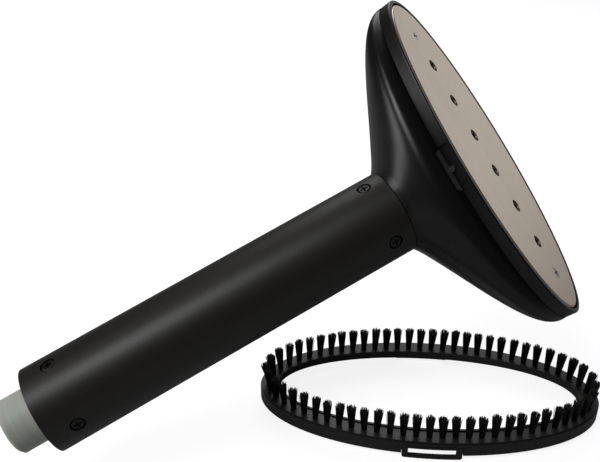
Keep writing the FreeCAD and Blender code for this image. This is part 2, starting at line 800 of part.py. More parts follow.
def spring_loop(label, side):
    """The windowed loop on one long side, -1 near and 1 far, with the round bead that it bends about."""
    low = "0 - loop_drop"
    outer = oval_block(label + "_outer", "ring_length", "ring_width", low, "loop_top")
    inner_length, inner_width = "ring_length - loop_thick", "ring_width - loop_thick"
    inner = oval_block(label + "_inner", inner_length, inner_width, low, "loop_top")
    start = "0 - ring_width - 1" if side < 0 else "ring_width + 1 - loop_depth"
    blank = box(label + "_blank", "loop_length", "loop_depth", "loop_top + loop_drop", (start, low))
    doc.recompute()
    bottom = -size("loop_drop")
    corners = []
    for number, edge in enumerate(blank.Shape.Edges, 1):
        limits = edge.BoundBox
        if limits.YLength > 1 and limits.ZMax < bottom + 0.1:
            corners.append((number, size("loop_corner"), size("loop_corner")))
    rounded = doc.addObject("Part::Fillet", label + "_rounded")
    rounded.Base = blank
    rounded.Edges = corners
    opening = ("window_length", "loop_depth", "window_low + window_high")
    window = box(label + "_window", *opening, (start, "0 - window_low"))
    frame = common(label + "_frame", [cut(label + "_band", outer, inner), rounded])
    bead = cylinder(label + "_bead", "bead_radius", "loop_length")
    root = Vector(-value("loop_length") / 2, side * size("bead_reach"), size("loop_top"))
    moved(bead, Placement(root, Rotation(Vector(0, 1, 0), 90)))
    return moved(fused(label, [cut(label + "_open", frame, window), bead]), RING)


# ---- build, check and write ------------------------------------------------------------------------------


def build():
    """Every sub-part, in the order in which the wand and the ring are put together."""
    return [
        handle_tube(),
        hose_plug(),
        radial_screws("hose_end_screws", "hose_screw_height"),
        neck_plug(),
        radial_screws("neck_screws", "neck_screw_height"),
        inlet_nipple(),
        o_ring("inlet_o_ring", "pipe_bore + seal_thick", "seal_thick", "pipe_low - seal_thick"),
        steam_pipe(),
        pipe_clip("pipe_clip_inlet", "inlet_clip_low"),
        pipe_ring("insulation_sleeve", "sleeve_low", "sleeve_high", "sleeve_radius"),
        pipe_clip("pipe_clip_outlet", "outlet_clip_low"),
        o_ring("outlet_o_ring", "pipe_radius + seal_thick", "seal_thick", "boss_low - seal_thick"),
        head_shell(),
        rim_bezel(),
        moved(catch_solid("near_catch", -1), PLATE),
        moved(catch_solid("far_catch", 1), PLATE),
        sole_plate(),
        sole_screws(),
        screw_inserts(),
        steam_chamber(),
        chamber_gasket(),
        nozzle_plate(),
        chamber_screws(),
        brush_ring(),
        bristle_tufts(),
        tuft_anchors(),
        spring_loop("near_loop", -1),
        spring_loop("far_loop", 1),
    ]


def faults(pieces):
    """Everything that is wrong with the document, as plain sentences."""
    found = [f"{item.Name} is {item.State}" for item in doc.Objects if {"Invalid", "Error"} & set(item.State)]
    for piece in pieces:
        if piece.Shape.isNull() or not piece.Shape.isValid() or not piece.Shape.Solids:
            found.append(f"{piece.Label} has no valid solid")
    return found


def main():
    pieces = build()
    doc.recompute()
    found = faults(pieces)
    if found:
        raise RuntimeError("; ".join(found))
    os.makedirs("parts", exist_ok=True)
    for piece in pieces:
        shape = piece.Shape
        print(f"{piece.Label:18} solids {len(shape.Solids):3} volume {shape.Volume:10.1f}")
        shape.exportStep(f"parts/{piece.Label}.step")


main()
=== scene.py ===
"""Looks of a garment steamer's steam head and its loose brush ring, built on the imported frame."""

import json
import math

import bpy
from bpy.props import FloatProperty, FloatVectorProperty, IntProperty, PointerProperty
from mathutils import Matrix, Vector


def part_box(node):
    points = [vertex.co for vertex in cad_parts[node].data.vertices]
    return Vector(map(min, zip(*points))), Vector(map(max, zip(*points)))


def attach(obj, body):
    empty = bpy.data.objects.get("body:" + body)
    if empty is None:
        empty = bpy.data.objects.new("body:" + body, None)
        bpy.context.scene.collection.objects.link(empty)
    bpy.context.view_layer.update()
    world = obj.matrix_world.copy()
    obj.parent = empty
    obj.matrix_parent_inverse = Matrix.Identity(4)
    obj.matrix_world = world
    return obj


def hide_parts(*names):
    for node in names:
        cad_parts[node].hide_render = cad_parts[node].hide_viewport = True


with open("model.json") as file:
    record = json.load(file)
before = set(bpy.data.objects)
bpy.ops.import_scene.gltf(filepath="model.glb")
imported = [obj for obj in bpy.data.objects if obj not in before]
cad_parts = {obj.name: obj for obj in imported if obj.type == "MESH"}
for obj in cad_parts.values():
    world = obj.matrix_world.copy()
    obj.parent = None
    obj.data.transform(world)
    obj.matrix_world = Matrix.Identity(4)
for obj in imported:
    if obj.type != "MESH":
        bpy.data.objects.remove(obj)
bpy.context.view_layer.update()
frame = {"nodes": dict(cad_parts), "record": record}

bl_info = {
    "name": "Steam Head",
    "version": (1, 0, 0),
    "blender": (4, 5, 0),
    "location": "View3D > Sidebar > Steam Head",
    "description": "Dresses a garment steamer's head and its oval brush ring",
    "category": "Object",
}

RECORD = frame["record"]
MOUNTS = {mount["name"]: mount for mount in RECORD["mounts"]}
JOINTS = {joint["name"]: joint for joint in RECORD["behaviour"]["joints"]}
MM = 0.001

# The bristles. A sway is the most that something leans at random to each side, for a height of 1.
LIP_HEIGHT = 0.6 * MM  # how far the ring's inner lip stands above its band
BAND_MIDDLE = 4.75 * MM  # how far the tufts' middles lie inside the ring's outline
PATH_STEPS = 7200  # steps of the walk round the ring that spaces the tufts
TUFT_LEAN = 9.0  # degrees that the tufts lean out at the ring's two ends
TUFT_SWAY = 0.05
FILAMENT_SWAY = 0.025
FILAMENT_TAPER = 0.72  # a filament's tip, as a share of its root
FILAMENT_SIDES = 3
FILAMENT_SEGMENTS = 3  # along a filament

# The stage. Places are in metres, in the frame of the whole row.
CAMERA_PLACE = Vector((105.75, -240.68, 213.08)) * MM
CAMERA_FALL = 28.3  # degrees that the camera looks down
CAMERA_CLIP = 0.01
KEY_PLACE = Vector((-0.5, -0.55, 1.25))
KEY_BREADTH = 0.6
LEFT_PLACE = Vector((-1.1, -0.2, 0.35))
LEFT_BREADTH = 0.5
RIM_PLACE = Vector((0.1, 0.95, 0.85))
RIM_BREADTH = 0.8
CARD_WAY = Vector((0.649, 0.761, 0.002))  # from the sole plate to the light that it mirrors
CARD_DISTANCE = 0.9
CARD_BREADTH = 0.95
WORLD_FILL = 0.05  # strength of the even light that falls on everything
FLOOR_GLOW = 0.85  # how bright the floor shines for the camera alone

WHITE = (1, 1, 1)
FILL_TINT = (0.96, 0.98, 1.0)
PAPER_TINT = (0.4, 0.4, 0.4)
RING_TINT = (0.021, 0.0203, 0.0198)
BRISTLE_DARK = (0.006, 0.006, 0.0062)
BRISTLE_PALE = (0.017, 0.0165, 0.016)
BRISTLE_TIP = (0.035, 0.032, 0.03)
BEZEL_LIFT = 1.2  # how much paler than the head the bezel is
# How much paler than the head the catches are: a painted highlight, not a grey of the catches' own.
CATCH_HIGHLIGHT_LIFT = 9.0

# The plain finishes: colour, how metallic, lowest and highest roughness, and the scale of the grain.
PLAIN_FINISHES = {
    "black_screw": ((0.004, 0.004, 0.004), 0.0, 0.35, 0.5, 900.0),
    "bright_screw": ((0.55, 0.52, 0.48), 1.0, 0.2, 0.34, 900.0),
    "brass": ((0.55, 0.38, 0.13), 1.0, 0.25, 0.4, 900.0),
    "pipe_steel": ((0.5, 0.49, 0.47), 1.0, 0.22, 0.36, 900.0),
    # The nozzle plate's alloy is darkened so that the steam holes in the sole look dark: painted shade.
    "nozzle_alloy_painted_shade": ((0.09, 0.085, 0.08), 0.9, 0.4, 0.55, 900.0),
    "cast_alloy": ((0.42, 0.42, 0.41), 0.9, 0.45, 0.6, 500.0),
    "seal_rubber": ((0.13, 0.04, 0.025), 0.0, 0.6, 0.75, 900.0),
    "foam": ((0.55, 0.53, 0.48), 0.0, 0.85, 0.95, 420.0),
    "nylon_clip": ((0.05, 0.05, 0.052), 0.0, 0.45, 0.55, 900.0),
    "chamber_screw": ((0.5, 0.48, 0.44), 1.0, 0.22, 0.36, 900.0),
    "staple_wire": ((0.5, 0.48, 0.44), 1.0, 0.22, 0.36, 900.0),
}

# The hidden pieces' nodes by the plain finish that they take.
INSIDE = {
    "brass": ("inlet_nipple", "screw_inserts"),
    "pipe_steel": ("steam_pipe",),
    "nozzle_alloy_painted_shade": ("nozzle_plate",),
    "cast_alloy": ("steam_chamber",),
    "seal_rubber": ("inlet_o_ring", "outlet_o_ring", "chamber_gasket"),
    "foam": ("insulation_sleeve",),
    "nylon_clip": ("pipe_clip_inlet", "pipe_clip_outlet", "neck_plug"),
    "chamber_screw": ("chamber_screws",),
}


# ---- frames -------------------------------------------------------------------------------------------


def axes_at(place, up, along):
    """A frame at place with Z along up, and X as near to along as it can be."""
    z_axis = Vector(up).normalized()
    x_axis = (Vector(along) - z_axis * Vector(along).dot(z_axis)).normalized()
    turn = Matrix((x_axis, z_axis.cross(x_axis), z_axis)).transposed()
    return Matrix.Translation(place) @ turn.to_4x4()


def wand_frame():
    """Z along the tube towards the head, X along the plate's long axis."""
    tube = -Vector(MOUNTS["handle_grip"]["axis"])
    across = Vector(MOUNTS["sole_face"]["axis"]).cross(tube)
    return axes_at(Vector(MOUNTS["handle_grip"]["pos_m"]), tube, -across)


def plate_frame():
    """Z out of the sole plate, X along its long axis."""
    out = Vector(MOUNTS["sole_face"]["axis"])
    along = wand_frame().to_3x3() @ Vector((1, 0, 0))
    return axes_at(Vector(MOUNTS["sole_face"]["pos_m"]), out, along)


def ring_frame():
    """Z up to the bristles' tips, X along the ring, the origin in the middle of the skirt's lower edge."""
    low, high = (Vector(corner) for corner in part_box("brush_ring"))
    middle = (low + high) / 2
    middle.z = low.z
    return axes_at(middle, (0, 0, 1), Vector(JOINTS["far_loop_flex"]["axis"]))


WAND = wand_frame()
PLATE = plate_frame()
RING = ring_frame()


# ---- sizes and colours that a user would change -------------------------------------------------------


class WandLooks(bpy.types.PropertyGroup):
    """Colours of the wand's visible pieces"""

    tube_tint: FloatVectorProperty(
        name="Tube",
        description="Colour of the anodised tube",
        subtype="COLOR",
        size=3,
        default=(0.0155, 0.0135, 0.0115),
    )
    head_tint: FloatVectorProperty(
        name="Head",
        description="Colour of the moulded head",
        subtype="COLOR",
        size=3,
        default=(0.0065, 0.0063, 0.0063),
    )
    steel_tint: FloatVectorProperty(
        name="Sole",
        description="Colour of the sole plate",
        subtype="COLOR",
        size=3,
        default=(0.7, 0.6, 0.5),
    )
    nylon_tint: FloatVectorProperty(
        name="Plug",
        description="Colour of the hose plug",
        subtype="COLOR",
        size=3,
        default=(0.5, 0.53, 0.48),
    )


class BrushLooks(bpy.types.PropertyGroup):
    """Numbers and sizes of the bristles"""

    tufts: IntProperty(
        name="Tufts",
        description="Number of tufts round the ring",
        default=61,
        min=8,
    )
    filaments: IntProperty(
        name="Filaments",
        description="Filaments in each tuft",
        default=130,
        min=8,
    )
    filament_radius: FloatProperty(
        name="Filament radius",
        description="Radius of a filament at its root",
        default=0.17 * MM,
        subtype="DISTANCE",
    )
    root_radius: FloatProperty(
        name="Root radius",
        description="Radius of a tuft where it leaves the ring",
        default=1.3 * MM,
        subtype="DISTANCE",
    )
    length: FloatProperty(
        name="Length",
        description="Length of the tufts above the ring",
        default=11.7 * MM,
        subtype="DISTANCE",
    )
    flare: FloatProperty(
        name="Flare",
        description="How much wider a tuft is at its tip",
        default=1.75,
        min=1.0,
    )
    raggedness: FloatProperty(
        name="Raggedness",
        description="Share of the length by which filaments differ",
        default=0.06,
        subtype="FACTOR",
    )
    seed: IntProperty(
        name="Seed",
        description="Seed of the tufts' unevenness",
        default=7,
    )


class StageLooks(bpy.types.PropertyGroup):
    """Lens, lights and floor"""

    lens: FloatProperty(
        name="Lens",
        description="Focal length of the camera",
        default=45.6,
        unit="CAMERA",
    )
    key_power: FloatProperty(
        name="Key",
        description="Power of the large light over the camera",
        default=7.5,
        unit="POWER",
    )
    left_power: FloatProperty(
        name="Left",
        description="Power of the light on the hose end",
        default=3.5,
        unit="POWER",
    )
    card_power: FloatProperty(
        name="Card",
        description="Power of the light that the plate mirrors",
        default=1.6,
        unit="POWER",
    )
    rim_power: FloatProperty(
        name="Rim",
        description="Power of the light above and behind",
        default=4.0,
        unit="POWER",
    )
    floor_reach: FloatProperty(
        name="Floor",
        description="Half the floor's side",
        default=3.0,
        unit="LENGTH",
    )


# ---- shader node groups -------------------------------------------------------------------------------


def new_group(name, inputs, outputs):
    """An empty shader node group: inputs are (name, type, default) rows, outputs the names of values."""
    group = bpy.data.node_groups.new(name, "ShaderNodeTree")
    for label, kind, default in inputs:
        socket = group.interface.new_socket(label, in_out="INPUT", socket_type=kind)
        socket.default_value = default
    for label in outputs:
        group.interface.new_socket(label, in_out="OUTPUT", socket_type="NodeSocketFloat")
    return group, group.nodes.new("NodeGroupInput"), group.nodes.new("NodeGroupOutput")


def math_node(tree, operation, first, second):
    """A Math node on two values, each a socket or a number."""
    node = tree.nodes.new("ShaderNodeMath")
    node.operation = operation
    for socket, given in zip(node.inputs, (first, second)):
        if isinstance(given, (int, float)):
            socket.default_value = given
        else:
            tree.links.new(given, socket)
    return node.outputs[0]


def noise_node(tree, vector, scale, detail, roughness=0.6):
    """Noise on a vector, at a scale that is a socket."""
    node = tree.nodes.new("ShaderNodeTexNoise")
    node.inputs["Detail"].default_value = detail
    node.inputs["Roughness"].default_value = roughness
    tree.links.new(vector, node.inputs["Vector"])
    tree.links.new(scale, node.inputs["Scale"])
    return node.outputs["Fac"]


def ranged(tree, given, low, high, to_low=0.0, to_high=1.0):
    """Map a value from one range to another, clamped."""
    node = tree.nodes.new("ShaderNodeMapRange")
    limits = {"From Min": low, "From Max": high, "To Min": to_low, "To Max": to_high}
    for name, number in limits.items():
        node.inputs[name].default_value = number
    tree.links.new(given, node.inputs["Value"])
    return node.outputs[0]


def grain_group():
    """Fine grain on any surface: a height for a bump and a slow mottling mask."""
    rows = [
        ("Vector", "NodeSocketVector", (0, 0, 0)),
        ("Fine", "NodeSocketFloat", 900.0),
        ("Slow", "NodeSocketFloat", 40.0),
    ]
    tree, given, result = new_group("surface_grain", rows, ["Height", "Mottle"])
    fine = noise_node(tree, given.outputs["Vector"], given.outputs["Fine"], detail=3.0)
    slow = noise_node(tree, given.outputs["Vector"], given.outputs["Slow"], detail=5.0)
    tree.links.new(fine, result.inputs["Height"])
    tree.links.new(ranged(tree, slow, low=0.3, high=0.7), result.inputs["Mottle"])
    return tree


def scuff_group():
    """Sparse fine scuffs and dust: a mask of short streaks and one of specks."""
    speck_fineness = 30.0  # how much finer the specks are than the streaks
    rows = [
        ("Vector", "NodeSocketVector", (0, 0, 0)),
        ("Scale", "NodeSocketFloat", 60.0),
    ]
    tree, given, result = new_group("scuffs", rows, ["Streaks", "Specks"])
    place, scale = given.outputs["Vector"], given.outputs["Scale"]
    stretch = tree.nodes.new("ShaderNodeMapping")
    stretch.inputs["Scale"].default_value = (6.0, 6.0, 0.5)
    stretch.inputs["Rotation"].default_value = (0.4, 0.2, 0.0)
    tree.links.new(place, stretch.inputs["Vector"])
    drawn = noise_node(tree, stretch.outputs[0], scale, detail=6.0, roughness=0.7)
    streaks = ranged(tree, drawn, low=0.62, high=0.74)
    patches = ranged(tree, noise_node(tree, place, scale, detail=2.0), low=0.45, high=0.7)
    fine_scale = math_node(tree, "MULTIPLY", scale, speck_fineness)
    specks = ranged(tree, noise_node(tree, place, fine_scale, detail=1.0), low=0.74, high=0.8)
    tree.links.new(math_node(tree, "MULTIPLY", streaks, patches), result.inputs["Streaks"])
    tree.links.new(specks, result.inputs["Specks"])
    return tree


def shared_groups():
    """The grain and scuff groups, built once."""
    groups = bpy.data.node_groups
    grain = groups.get("surface_grain") or grain_group()
    return grain, groups.get("scuffs") or scuff_group()


# ---- materials ----------------------------------------------------------------------------------------


class Finish:
    """One material under construction: a Principled shader, object coordinates in a frame and helpers."""

    def __init__(self, name, placed=None):
        self.material = bpy.data.materials.new(name)
        self.material.use_nodes = True
        self.tree = self.material.node_tree
        self.shader = self.tree.nodes["Principled BSDF"]
        self.place = self.tree.nodes.new("ShaderNodeTexCoord").outputs["Object"]
        if placed is not None:
            self.place = self.mapped(self.place, placed)

    def mapped(self, vector, placed):
        """Object coordinates read in a frame of the part's own."""
        node = self.tree.nodes.new("ShaderNodeMapping")
        node.vector_type = "TEXTURE"
        node.inputs["Location"].default_value = placed.to_translation()
        node.inputs["Rotation"].default_value = placed.to_euler()
        self.tree.links.new(vector, node.inputs["Vector"])
        return node.outputs[0]

    def stretched(self, stretch):
        """The finish's place, stretched so that a grain on it is drawn out one way."""
        node = self.tree.nodes.new("ShaderNodeMapping")
        node.inputs["Scale"].default_value = stretch
        self.tree.links.new(self.place, node.inputs["Vector"])
        return node.outputs[0]

    def plain(self, **numbers):
        """Set the shader's own sockets to numbers that are the same all over."""
        for name, number in numbers.items():
            self.shader.inputs[name.replace("_", " ")].default_value = number

    def group(self, tree, vector, **numbers):
        """The outputs of a shared node group on a vector, with its other inputs set to numbers."""
        node = self.tree.nodes.new("ShaderNodeGroup")
        node.node_tree = tree
        self.tree.links.new(vector, node.inputs["Vector"])
        for name, number in numbers.items():
            node.inputs[name].default_value = number
        return node.outputs

    def colours(self, mask, first, second, under=None):
        """Mix two colours by a mask; under, a colour socket, takes the first one's place."""
        node = self.tree.nodes.new("ShaderNodeMix")
        node.data_type = "RGBA"
        node.inputs[7].default_value = (*second, 1)
        node.inputs[6].default_value = (*first, 1)
        self.tree.links.new(mask, node.inputs[0])
        if under is not None:
            self.tree.links.new(under, node.inputs[6])
        return node.outputs[2]

    def mottled(self, mask, tint, darkest, lightest):
        """The tint times darkest to lightest, by a mask."""
        return self.colours(mask, lifted(tint, darkest), lifted(tint, lightest))

    def marked(self, base, mask, tint, lift):
        """The base colour with marks, in the tint times lift, where the mask is."""
        return self.colours(mask, tint, lifted(tint, lift), base)

    def colour(self, socket):
        """Take the shader's colour from a socket."""
        self.tree.links.new(socket, self.shader.inputs["Base Color"])

    def roughness(self, mask, low, high):
        """Vary the shader's roughness from low to high by a mask."""
        self.tree.links.new(ranged(self.tree, mask, 0, 1, low, high), self.shader.inputs["Roughness"])

    def bump(self, height, distance, strength):
        """Raise the surface by a height mask."""
        node = self.tree.nodes.new("ShaderNodeBump")
        node.inputs["Distance"].default_value = distance
        node.inputs["Strength"].default_value = strength
        self.tree.links.new(height, node.inputs["Height"])
        self.tree.links.new(node.outputs[0], self.shader.inputs["Normal"])


def lifted(tint, factor):
    """A colour times a factor, no part above 1."""
    return tuple(min(1.0, part * factor) for part in tint)


def anodised_tube(looks, grain, scuffs):
    """Matte anodised metal, drawn along the tube, with faint handling marks."""
    tint = tuple(looks.tube_tint)
    finish = Finish("anodised_tube", WAND)
    fine = finish.group(grain, finish.stretched((1.0, 1.0, 0.12)), Fine=2600.0, Slow=55.0)
    marks = finish.group(scuffs, finish.place, Scale=45.0)
    base = finish.mottled(fine["Mottle"], tint, darkest=0.88, lightest=1.14)
    finish.colour(finish.marked(base, marks["Streaks"], tint, lift=1.6))
    finish.roughness(fine["Mottle"], low=0.42, high=0.48)
    finish.bump(fine["Height"], distance=0.02 * MM, strength=0.5)
    finish.plain(Metallic=0.0, Specular_IOR_Level=0.55)
    return finish.material


def moulded_black(name, tint, placed, grain, scuffs, low, high):
    """Satin moulded plastic: slight orange peel, slow mottling and specks of dust."""
    finish = Finish(name, placed)
    fine = finish.group(grain, finish.place, Fine=700.0, Slow=28.0)
    marks = finish.group(scuffs, finish.place, Scale=38.0)
    base = finish.mottled(fine["Mottle"], tint, darkest=0.9, lightest=1.15)
    finish.colour(finish.marked(base, marks["Specks"], tint, lift=6.0))
    finish.roughness(fine["Mottle"], low, high)
    finish.bump(fine["Height"], distance=0.015 * MM, strength=0.35)
    finish.plain(Specular_IOR_Level=0.45)
    return finish.material


def brushed_steel(looks, grain, scuffs):
    """Stainless sheet, brushed along its length, mottled by steam."""
    tint = tuple(looks.steel_tint)
    finish = Finish("stainless_sole", PLATE)
    fine = finish.group(grain, finish.stretched((0.04, 1.0, 1.0)), Fine=5200.0, Slow=160.0)
    slow = finish.group(grain, finish.place, Fine=500.0, Slow=26.0)
    marks = finish.group(scuffs, finish.place, Scale=30.0)
    base = finish.mottled(slow["Mottle"], tint, darkest=0.93, lightest=1.06)
    brushed = finish.marked(base, fine["Mottle"], tint, lift=1.07)
    finish.colour(finish.marked(brushed, marks["Streaks"], tint, lift=1.15))
    finish.roughness(fine["Height"], low=0.3, high=0.4)
    finish.bump(fine["Height"], distance=0.012 * MM, strength=0.5)
    finish.plain(Metallic=1.0)
    return finish.material


def turned_nylon(looks, grain, scuffs):
    """Natural nylon, turned: fine rings along the axis, waxy and a little translucent."""
    tint = tuple(looks.nylon_tint)
    finish = Finish("natural_nylon", WAND)
    rings = finish.group(grain, finish.stretched((0.02, 0.02, 1.0)), Fine=3800.0, Slow=420.0)
    slow = finish.group(grain, finish.place, Fine=600.0, Slow=60.0)
    base = finish.mottled(slow["Mottle"], tint, darkest=0.9, lightest=1.08)
    finish.colour(finish.marked(base, rings["Mottle"], tint, lift=1.12))
    finish.roughness(rings["Height"], low=0.42, high=0.6)
    finish.bump(rings["Height"], distance=0.05 * MM, strength=0.7)
    finish.plain(Subsurface_Weight=0.25, Subsurface_Scale=2.0 * MM)
    return finish.material


def plain_finish(name, grain):
    """A simple finish with grain and mottling, for screws and the hidden pieces."""
    tint, metallic, low, high, fine = PLAIN_FINISHES[name]
    finish = Finish(name)
    texture = finish.group(grain, finish.place, Fine=fine, Slow=120.0)
    finish.colour(finish.mottled(texture["Mottle"], tint, darkest=0.85, lightest=1.15))
    finish.roughness(texture["Mottle"], low, high)
    finish.bump(texture["Height"], distance=0.02 * MM, strength=0.5)
    finish.plain(Metallic=metallic)
    return finish.material


def bristle_nylon():
    """Black filaments, paler and duller at their cut tips, each a little different."""
    finish = Finish("bristle_nylon")
    along = finish.tree.nodes.new("ShaderNodeAttribute")
    along.attribute_name = "along"
    strand = finish.tree.nodes.new("ShaderNodeAttribute")
    strand.attribute_name = "strand"
    base = finish.colours(strand.outputs["Fac"], BRISTLE_DARK, BRISTLE_PALE)
    tip = ranged(finish.tree, along.outputs["Fac"], low=0.8, high=1.0)
    finish.colour(finish.colours(tip, BRISTLE_PALE, BRISTLE_TIP, base))
    finish.roughness(along.outputs["Fac"], low=0.42, high=0.6)
    finish.plain(Specular_IOR_Level=0.4)
    return finish.material


# ---- bristles -----------------------------------------------------------------------------------------


class Nodes:
    """Short ways to build a geometry node tree."""

    def __init__(self, name):
        self.tree = bpy.data.node_groups.new(name, "GeometryNodeTree")
        self.tree.is_modifier = True
        self.tree.interface.new_socket("Geometry", in_out="INPUT", socket_type="NodeSocketGeometry")
        self.tree.interface.new_socket("Geometry", in_out="OUTPUT", socket_type="NodeSocketGeometry")
        self.given = self.tree.nodes.new("NodeGroupInput")
        self.result = self.tree.nodes.new("NodeGroupOutput")
        self.identifiers = {}

    def option(self, name, kind):
        """An input of the tree that its modifier sets."""
        socket = self.tree.interface.new_socket(name, in_out="INPUT", socket_type=kind)
        self.identifiers[name] = socket.identifier
        return self.given.outputs[name]

    def add(self, kind, settings=None, **links):
        """A node with its settings, and its inputs by name, each a socket or a plain value."""
        node = self.tree.nodes.new(kind)
        for key, setting in (settings or {}).items():
            setattr(node, key, setting)
        for name, given in links.items():
            self.feed(self.socket(node, name.replace("_", " ")), given)
        return node

    @staticmethod
    def socket(node, name):
        """The enabled input of that name."""
        return next(item for item in node.inputs if item.enabled and item.name == name)

    @staticmethod
    def out(node, name=None):
        """The enabled output of that name, or the first one."""
        return next(item for item in node.outputs if item.enabled and (name is None or item.name == name))

    def feed(self, socket, given):
        """Link a socket to an input, or set the input to a plain value."""
        if isinstance(given, bpy.types.NodeSocket):
            self.tree.links.new(given, socket)
        else:
            socket.default_value = given

    def math(self, operation, *values):
        """The result of a Math node on sockets or numbers."""
        node = self.tree.nodes.new("ShaderNodeMath")
        node.operation = operation
        for socket, given in zip(node.inputs, values):
            self.feed(socket, given)
        return node.outputs[0]

    def vector(self, operation, *values):
        """The result of a Vector Math node on sockets or vectors."""
        node = self.tree.nodes.new("ShaderNodeVectorMath")
        node.operation = operation
        for socket, given in zip(node.inputs, values):
            self.feed(socket, given)
        return self.out(node)

    def scaled(self, vector, factor):
        """A vector times a factor."""
        node = self.tree.nodes.new("ShaderNodeVectorMath")
        node.operation = "SCALE"
        self.feed(node.inputs["Vector"], vector)
        self.feed(node.inputs["Scale"], factor)
        return node.outputs[0]

    def combined(self, across, along, up):
        """A vector of three values."""
        return self.out(self.add("ShaderNodeCombineXYZ", None, X=across, Y=along, Z=up))

    def random(self, kind, low, high, identity, seed):
        """A random value from low to high for each identity."""
        node = self.tree.nodes.new("FunctionNodeRandomValue")
        node.data_type = kind
        for name, given in (("Min", low), ("Max", high), ("ID", identity), ("Seed", seed)):
            self.feed(self.socket(node, name), given)
        return self.out(node)

    def swaying(self, most, up, identity, seed):
        """A vector of height up that leans at random, at most so far to each side."""
        return self.random("FLOAT_VECTOR", (-most, -most, up), (most, most, up), identity, seed)

    def store(self, kind, domain, geometry, name, value):
        """The geometry with a value kept on it as a named attribute."""
        settings = {"data_type": kind, "domain": domain}
        links = {"Geometry": geometry, "Name": name, "Value": value}
        return self.out(self.add("GeometryNodeStoreNamedAttribute", settings, **links))

    def kept(self, name):
        """A vector that was kept on the geometry under that name."""
        settings = {"data_type": "FLOAT_VECTOR"}
        return self.out(self.add("GeometryNodeInputNamedAttribute", settings, Name=name))


def filament(tree, radius, length):
    """One tapered filament, standing up, with how far along it each point lies kept as along."""
    links = {"Vertices": FILAMENT_SIDES, "Side_Segments": FILAMENT_SEGMENTS, "Depth": length}
    cone = tree.add("GeometryNodeMeshCone", {"fill_type": "NGON"}, **links)
    tree.feed(cone.inputs["Radius Bottom"], radius)
    tree.feed(cone.inputs["Radius Top"], tree.math("MULTIPLY", radius, FILAMENT_TAPER))
    place = tree.out(tree.add("GeometryNodeInputPosition"))
    height = tree.add("ShaderNodeSeparateXYZ", None, Vector=place)
    share = tree.math("DIVIDE", height.outputs["Z"], length)
    return tree.store("FLOAT", "POINT", tree.out(cone, "Mesh"), "along", share)


def bristle_tree():
    """Fills a ring of tuft roots with filaments that fan out towards ragged tips."""
    tree = Nodes("bristles")
    count = tree.option("Filaments", "NodeSocketInt")
    radius = tree.option("Filament radius", "NodeSocketFloat")
    root = tree.option("Root radius", "NodeSocketFloat")
    length = tree.option("Length", "NodeSocketFloat")
    flare = tree.option("Flare", "NodeSocketFloat")
    ragged = tree.option("Raggedness", "NodeSocketFloat")
    seed = tree.option("Seed", "NodeSocketInt")
    material = tree.option("Material", "NodeSocketMaterial")

    tuft = tree.out(tree.add("GeometryNodeInputIndex"))
    tilt = tree.vector("ADD", tree.kept("lean"), tree.swaying(TUFT_SWAY, 0.0, tuft, seed))
    points = tree.out(tree.add("GeometryNodeMeshToPoints", None, Mesh=tree.given.outputs["Geometry"]))
    tilted = tree.store("FLOAT_VECTOR", "POINT", points, "tilt", tilt)
    many = tree.add("GeometryNodeDuplicateElements", {"domain": "POINT"}, Geometry=tilted, Amount=count)

    strand = tree.out(tree.add("GeometryNodeInputIndex"))
    turn = tree.random("FLOAT", 0.0, 2 * math.pi, strand, tree.math("ADD", seed, 1))
    reach = tree.math("SQRT", tree.random("FLOAT", 0.0, 1.0, strand, tree.math("ADD", seed, 2)))
    out = tree.math("MULTIPLY", reach, root)
    offset = tree.combined(
        tree.math("MULTIPLY", out, tree.math("COSINE", turn)),
        tree.math("MULTIPLY", out, tree.math("SINE", turn)),
        0.0,
    )
    fan = tree.math("DIVIDE", tree.math("SUBTRACT", flare, 1.0), length)
    stray = tree.swaying(FILAMENT_SWAY, 1.0, strand, tree.math("ADD", seed, 3))
    heading = tree.vector("ADD", tree.vector("ADD", tree.scaled(offset, fan), stray), tree.kept("tilt"))
    facing = tree.add("FunctionNodeAlignRotationToVector", {"axis": "Z"}, Vector=heading)
    placed = tree.add("GeometryNodeSetPosition", None, Geometry=tree.out(many), Offset=offset)
    shortest = tree.math("SUBTRACT", 1.0, ragged)
    shorter = tree.random("FLOAT", shortest, 1.0, strand, tree.math("ADD", seed, 4))
    copies = tree.add(
        "GeometryNodeInstanceOnPoints",
        None,
        Points=tree.out(placed),
        Instance=filament(tree, radius, length),
        Rotation=tree.out(facing),
        Scale=tree.combined(1.0, 1.0, shorter),
    )
    shade = tree.random("FLOAT", 0.0, 1.0, strand, tree.math("ADD", seed, 5))
    shaded = tree.store("FLOAT", "INSTANCE", tree.out(copies), "strand", shade)
    real = tree.add("GeometryNodeRealizeInstances", None, Geometry=shaded)
    painted = tree.add("GeometryNodeSetMaterial", None, Geometry=tree.out(real), Material=material)
    tree.tree.links.new(tree.out(painted), tree.result.inputs["Geometry"])
    return tree


